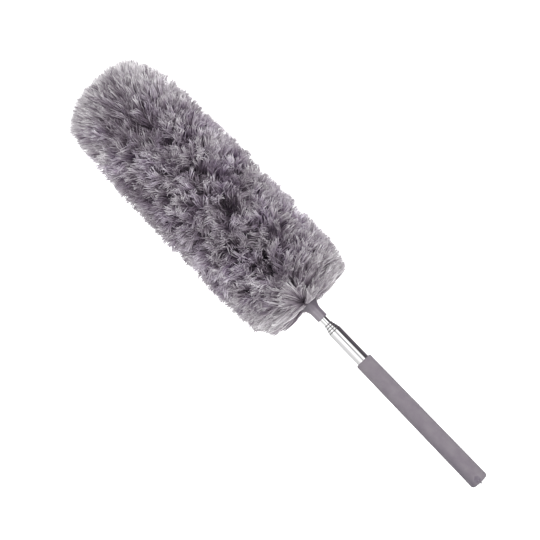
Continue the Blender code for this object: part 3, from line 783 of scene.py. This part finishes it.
def lock_tints_and_painted_light(angle, s, longer, paler, at_base, at_tip, rng):
    """How pale each lock is, from random tone and from painted light and shade, and how far it belongs
    to the base's edge, which gets painted shade.
    """
    side = np.sin(angle)
    flank = np.sin(angle + math.radians(12)) ** 2
    # Painted light and shade: paler at the head's base and tip, on the flanks and on longer locks,
    # darker on the base's +Y side, with the partings' painted shade and the crests' painted light
    tint = 0.265 + paler * (1 - 0.5 * at_base) + 0.17 * at_base + 0.08 * at_tip**3
    tint += 0.03 * longer / MM + 0.25 * flank * (1 - at_base) - 0.18 * at_base * side
    near_tip = rising(s, 520, 570)
    for degrees, wide, more, more_at_base in LIGHT_BANDS:
        apart = (np.degrees(angle) - degrees + 180) % 360 - 180
        here = more * (1 - at_base - near_tip) + more_at_base * at_base
        tint += fading(apart, wide) * here

    # Painted light: the rounded rim at both ends is paler than what lies inside it
    facing = np.cos(angle - math.radians(12)) ** 2
    cap = rising(s, 556, 618)
    rim = np.clip((0.54 - (1 - cap**2) * facing) / 0.3, 0, 1)
    tint += near_tip * (0.32 * rim - 0.05) + 0.09 * cap
    corner = 1 - rising(s, 265, 300)
    rim = np.clip((0.4 - (1 - corner**2) * facing) / 0.25, 0, 1) * side**2
    tint += at_base * rim * np.where(side > 0, 0.36, 0.08)
    # Painted shade along the base's -Y edge near the collar
    edge = np.clip(-side - 0.2, 0, 1) * fading(s - BASE_PLANE, 11 * MM)
    tint -= 0.35 * edge
    tint += rng.normal(0, LOCK_TINT, len(s)) * (1 - 0.3 * at_base + 1.5 * at_tip)
    return tint, edge


def strand_lines(rng):
    """Centre lines of all strands, as an array of strands by steps by (top, +Y, s), with each strand's
    tint, how far the painted light at the head's ends reaches down it, and its place along the outline."""
    lock_along, lock_angle = lock_places(rng)
    count = len(lock_along) * STRANDS_PER_LOCK
    lock = np.repeat(np.arange(len(lock_along)), STRANDS_PER_LOCK)
    along, angle = lock_along[lock], lock_angle[lock]
    at_base, at_tip = near_ends(lock_along)

    # A lock is wide at its root and gathers towards its tip
    disc = np.sqrt(rng.uniform(0, 1, count))
    turn = rng.uniform(0, TAU, count)
    ahead, aside = disc * np.cos(turn), disc * np.sin(turn)
    radius = np.maximum(outline_columns(along, angle)[2], 6 * MM)
    root_angle = angle + aside * ROOT_SPREAD / radius
    root_radius, root_s = outline_columns(along + ahead * ROOT_SPREAD, root_angle)[:2]
    root = around(root_radius, root_angle, root_s)
    spread = TIP_SPREAD * rng.uniform(0.4, 1.5, len(lock_along)) * (1 - 0.6 * at_tip)
    tip_along = along + ahead * spread[lock]
    tip_angle = angle + aside * spread[lock] / radius
    tip_radius, tip_s = outline_columns(tip_along, tip_angle)[2:]
    tip = around(tip_radius, tip_angle, tip_s)

    lock_radius, lock_s = outline_columns(lock_along, lock_angle)[2:]
    leans = lock_leans(lock_angle, lock_radius, lock_s, at_base, at_tip, rng)
    push, longer, paler = leans
    loose = (1 - 0.5 * at_base - 0.5 * at_tip)[lock][:, None]
    lines = grown(root, tip, push, longer, disc, lock, loose, rng)
    keep_off_base(lines, angle, lock, rng)
    keep_in_outline(lines, tip_along, tip_s, rng)
    tint, edge = lock_tints_and_painted_light(lock_angle, lock_s, longer, paler, at_base, at_tip, rng)
    own = rng.normal(0, STRAND_TINT, count) * (1 + 0.8 * at_base + 2.1 * at_tip)[lock]
    tint = np.clip(tint[lock] + own - 0.1 * disc**2, 0, 1.15)
    # How far the painted light at the head's ends reaches down each strand, less along the base's
    # painted-shade edge
    pale = (at_base * (1 - 0.25 * edge) + 0.1 * at_tip)[lock]
    return lines, tint, pale, along


def laid_on_floor(lines, rng):
    """Strands that would go through the floor bend along it and keep their length."""
    result = lines.copy()
    height = rng.uniform(0.6, 7.0, len(lines)) * MM
    for i in range(1, lines.shape[1]):
        step = lines[:, i] - lines[:, i - 1]
        length = np.linalg.norm(step, axis=1)
        following = result[:, i - 1] + step
        low = following[:, 2] < height
        flat = step * np.array([1.0, 1.0, 0.0])
        flat[:, 1] += np.sign(lines[:, i, 1]) * 0.35 * length
        flat = unit(flat, 1e-6) * length[:, None]
        flat[:, 2] = -np.clip(result[:, i - 1, 2] - height, 0, length)
        following[low] = (result[:, i - 1] + flat)[low]
        result[:, i] = following
    result[:, :, 2] = np.maximum(result[:, :, 2], 0.9 * MM)
    return result


def strand_faces(rings):
    """Corners of one strand's faces in a row, and where each face starts: its closed root, its sides
    from ring to ring, and its point."""
    corners, starts = [0, 2, 1], [0]
    last = (rings - 1) * 3
    for ring in range(0, last, 3):
        for k in range(3):
            n = (k + 1) % 3
            starts.append(len(corners))
            corners += [ring + k, ring + n, ring + 3 + n, ring + 3 + k]
    for k in range(3):
        starts.append(len(corners))
        corners += [last + k, last + (k + 1) % 3, last + 3]
    return np.array(corners), np.array(starts)


def carry(mesh, name, values):
    """Store a number at each point for the fibres' material."""
    numbers = values.astype(np.float32).ravel()
    mesh.attributes.new(name, "FLOAT", "POINT").data.foreach_set("value", numbers)


def strand_mesh(name, lines, tint, pale, rng):
    """Three-sided strands that taper to a point, each closed at its root."""
    count = len(lines)
    tangent = unit(np.gradient(lines, axis=1))
    first = unit(np.cross(tangent, rng.normal(size=(count, 1, 3))))
    second = np.cross(tangent, first)
    share = STRAND_STEPS
    width = STRAND_WIDTH / 2 * rng.uniform(0.5, 1.5, (count, 1)) * (1 - 0.55 * share**2)[None, :]
    sides = [first * math.cos(a) + second * math.sin(a) for a in (0, TAU / 3, TAU * 2 / 3)]
    rings = np.stack([lines + side * width[:, :, None] for side in sides], 2)[:, :-1]
    points = np.concatenate([rings.reshape(count, -1, 3), lines[:, -1:]], 1)
    per = points.shape[1]
    corners, starts = strand_faces(rings.shape[1])
    strand = np.arange(count)[:, None]
    all_corners = (corners + strand * per).astype(np.int32).ravel()
    all_starts = (starts + strand * len(corners)).astype(np.int32).ravel()
    mesh = bpy.data.meshes.new(name)
    mesh.vertices.add(count * per)
    mesh.vertices.foreach_set("co", points.astype(np.float32).ravel())
    mesh.loops.add(len(all_corners))
    mesh.loops.foreach_set("vertex_index", all_corners)
    mesh.polygons.add(len(all_starts))
    mesh.polygons.foreach_set("loop_start", all_starts)
    mesh.polygons.foreach_set("use_smooth", np.ones(len(all_starts), bool))

    # Near the head's ends strands are pale for more of their length: painted light that shortens the
    # roots' painted shade
    along = np.concatenate([np.repeat(share[:-1], 3), [1.0]])
    along = along[None, :] ** (1 - 0.5 * pale[:, None])
    carry(mesh, "along", 1 - (1 - along) * (1 - 0.58 * pale[:, None]))
    carry(mesh, "tint", np.repeat(tint, per))
    mesh.update(calc_edges=True)
    mesh.validate()
    return link(name, mesh)


def add_strands():
    rng = np.random.default_rng(SEED)
    lines, tint, pale, along = strand_lines(rng)
    lines = to_world(lines.reshape(-1, 3)).reshape(lines.shape)
    lines = laid_on_floor(lines, rng)
    order = np.argsort(along, kind="stable")
    for band, chosen in enumerate(np.array_split(order, BANDS)):
        name = f"pile_strands_{band + 1}"
        made = strand_mesh(name, lines[chosen], tint[chosen], pale[chosen], rng)
        finish_piece(made, "head", FIBRE, "microfiber_pile")


def add_pile_heart():
    """The dense middle of the head, where the fibres leave the wire, dark with the roots' painted shade.
    """
    outline = [(r + HEART_OVER_ROOTS, s) for r, s in STATIONS[-2::-1, :2]]
    outline = [(0.0, STATIONS[-1, 1])] + outline[:-1] + [(13.8 * MM, 274.6 * MM)]
    mouth, boss_end = COLLAR_END + HEART_GAP, BOSS_END + HEART_GAP
    boss = BOSS_RADIUS + HEART_GAP
    bore = [
        (13.5 * MM, mouth), (boss, mouth), (boss, boss_end), (WIRE_BORE, boss_end),
        (WIRE_BORE, CAP_START), (CAP_BORE, CAP_START), (CAP_BORE, CAP_END), (0.0, CAP_END),
    ]
    made = turned("pile_heart", outline + bore, 64, closed=False)
    count = len(made.data.vertices)
    carry(made.data, "along", np.full(count, HEART_ALONG))
    carry(made.data, "tint", np.full(count, HEART_TINT))
    finish_piece(made, "head", FIBRE, "microfiber_pile")


def dress_cad_nodes():
    """The pieces inside keep their CAD shapes and get materials."""
    looks = {
        "thread_stud": CHROME, "core_wire": WIRE, "tube_end_plug": PLUG_LOOK, "tip_cap": PLUG_LOOK,
    }
    for name, node in frame["nodes"].items():
        if not node.hide_render:
            node.data.materials.clear()
            node.data.materials.append(looks.get(name, SHIM_LOOK))


# Stage, light and camera


def view_basis():
    """Right, up and back of the camera, above the pole and leaning to the grip and to +Y, and the
    direction across the pole."""
    grip, side = math.radians(LEAN_TO_GRIP), math.radians(LEAN_TO_SIDE)
    back = TOP * math.cos(side) * math.cos(grip) - AXIS * math.sin(grip)
    back += SIDE * math.sin(side) * math.cos(grip)
    back.normalize()
    to_grip = -AXIS - back * (-AXIS).dot(back)
    to_grip.normalize()
    sideways = back.cross(to_grip)
    right = to_grip * GRIP_ACROSS + sideways * GRIP_DOWN
    up = sideways * GRIP_ACROSS - to_grip * GRIP_DOWN
    return right, up, back, sideways


def add_camera():
    right, up, back, sideways = view_basis()
    target = POLE_END + AXIS * LOOKS_AT_S + sideways * LOOKS_ASIDE
    data = bpy.data.cameras.new("camera")
    data.lens = LENS
    data.clip_end = 20.0
    camera = link("camera", data)
    turn = Matrix((right, up, back)).transposed().to_4x4()
    camera.matrix_world = Matrix.Translation(target + back * CAMERA_DISTANCE) @ turn
    bpy.context.scene.camera = camera


def add_floor():
    """A pale sweep that glows a little, as a light table does, so that shadows stay faint."""
    mesh = bpy.data.meshes.new("floor")
    half = 3.0
    corners = [(-half, -half, 0), (half, -half, 0), (half, half, 0), (-half, half, 0)]
    mesh.from_pydata(corners, [], [(0, 1, 2, 3)])
    floor = link("floor", mesh)
    made, tree, shader = new_material("floor_white", 0.9, specular=0.1)
    mottled = noise(tree, 3.0, detail=2.0)
    tone = ramp(tree, mottled, [(0.3, (0.88, 0.88, 0.885)), (0.7, (0.90, 0.90, 0.90))])
    tree.links.new(tone, shader.inputs["Base Color"])
    shader.inputs["Emission Color"].default_value = (1.0, 1.0, 1.0, 1.0)
    shader.inputs["Emission Strength"].default_value = 0.68
    mesh.materials.append(made)
    floor.visible_glossy = False


# What gloss mirrors, by the angle round the pole from the camera towards +Y, in degrees: far behind
# the -Y side a narrow dark flag, a wide gray one before it, two strip lights with the camera's dark
# slot between them, and a black flag on the +Y side
MIRRORED = [
    (-180, 1.0), (-176, 0.30), (-149, 0.25), (-143, 1.0), (-134, 0.69), (-100, 0.70), (-75, 0.78),
    (-62, 0.92), (-52, 1.0), (-44, 1.0), (-40, 1.5), (-24, 1.5), (-19, 1.0), (-9, 0.95), (-5, 0.45),
    (7, 0.45), (11, 0.85), (20, 0.95), (24, 1.5), (38, 1.5), (42, 1.0), (50, 0.5), (56, 0.12),
    (66, 0.05), (91, 0.10), (118, 0.12), (138, 0.15), (152, 0.6), (180, 0.95),
]
FLAG_TINT = (1.06, 0.93, 1.08)   # of what is darker than the limit
FLAG_LIMIT = 0.3

# Cards across the pole: a gray one past the grip, which darkens the collar's flare, and a black one
# towards the head, which draws the dark lines round the tubes' rolled lips. How much light is left by
# how far a direction points along the pole, from -1 to 1, and the light that fills in past the gray card
CARDS = [
    (-0.85, 0.55), (-0.50, 0.60), (-0.25, 1.0), (0.10, 1.0), (0.22, 0.06), (0.50, 0.06), (0.58, 0.85),
]
FILL = [(-0.60, 0.12), (-0.45, 0.0)]

# What lights the matt surfaces, from the -Y side and from the +Y side
SOFT_LIGHT = [(0.0, 0.66), (1.0, 0.92)]


def add_world():
    """White light from everywhere, more of it from +Y; glossy rays see the studio's cards instead."""
    world = bpy.data.worlds.new("studio")
    bpy.context.scene.world = world
    world.use_nodes = True
    tree = world.node_tree
    shader = tree.nodes["Background"]
    direction = coordinates(tree, "Generated")
    back, sideways = view_basis()[2:]
    back = (back - AXIS * back.dot(AXIS)).normalized()
    to_side, to_back, to_head, to_y = [
        against(tree, "DOT_PRODUCT", direction, vector) for vector in (sideways, back, AXIS, SIDE)
    ]
    angle = calculate(tree, "ARCTAN2", to_side, to_back)
    place = span(tree, angle, 0.0, 1.0, -math.pi, math.pi)
    stops = []
    for degrees, level in MIRRORED:
        tint = FLAG_TINT if level < FLAG_LIMIT else (1.0, 1.0, 1.0)
        stops.append(((degrees + 180) / 360, tuple(level * part for part in tint)))
    forward = span(tree, to_head, 0.0, 1.0, -1.0, 1.0)
    card, fill = [
        gray_ramp(tree, forward, [((x + 1) / 2, level) for x, level in levels])
        for levels in (CARDS, FILL)
    ]
    mirrored = mix(tree, ramp(tree, place, stops), card, 1.0, "MULTIPLY")
    mirrored = mix(tree, mirrored, fill, 1.0, "ADD")
    soft = gray_ramp(tree, span(tree, to_y, 0.0, 1.0, -1.0, 1.0), SOFT_LIGHT)
    path = tree.nodes.new("ShaderNodeLightPath")
    seen = mix(tree, soft, (1.0, 1.0, 1.0), path.outputs["Is Camera Ray"])
    seen = mix(tree, seen, mirrored, path.outputs["Is Glossy Ray"])
    tree.links.new(seen, shader.inputs["Color"])
    shader.inputs["Strength"].default_value = 1.0


def add_key_lamp():
    data = bpy.data.lights.new("key", "AREA")
    data.shape = "DISK"
    data.size = 0.7
    data.energy = 35.0
    lamp = link("key", data)
    lamp.location = (0.15, 0.3, 1.9)
    aim = Vector((0.0, 0.0, 0.03)) - lamp.location
    lamp.rotation_euler = aim.to_track_quat("-Z", "Y").to_euler()
    lamp.visible_glossy = False
    lamp.visible_camera = False


add_camera()
add_tubes()
add_grip()
add_collar()
add_pile_heart()
add_strands()
dress_cad_nodes()
add_floor()
add_world()
add_key_lamp()
bpy.context.scene.view_settings.view_transform = "Standard"
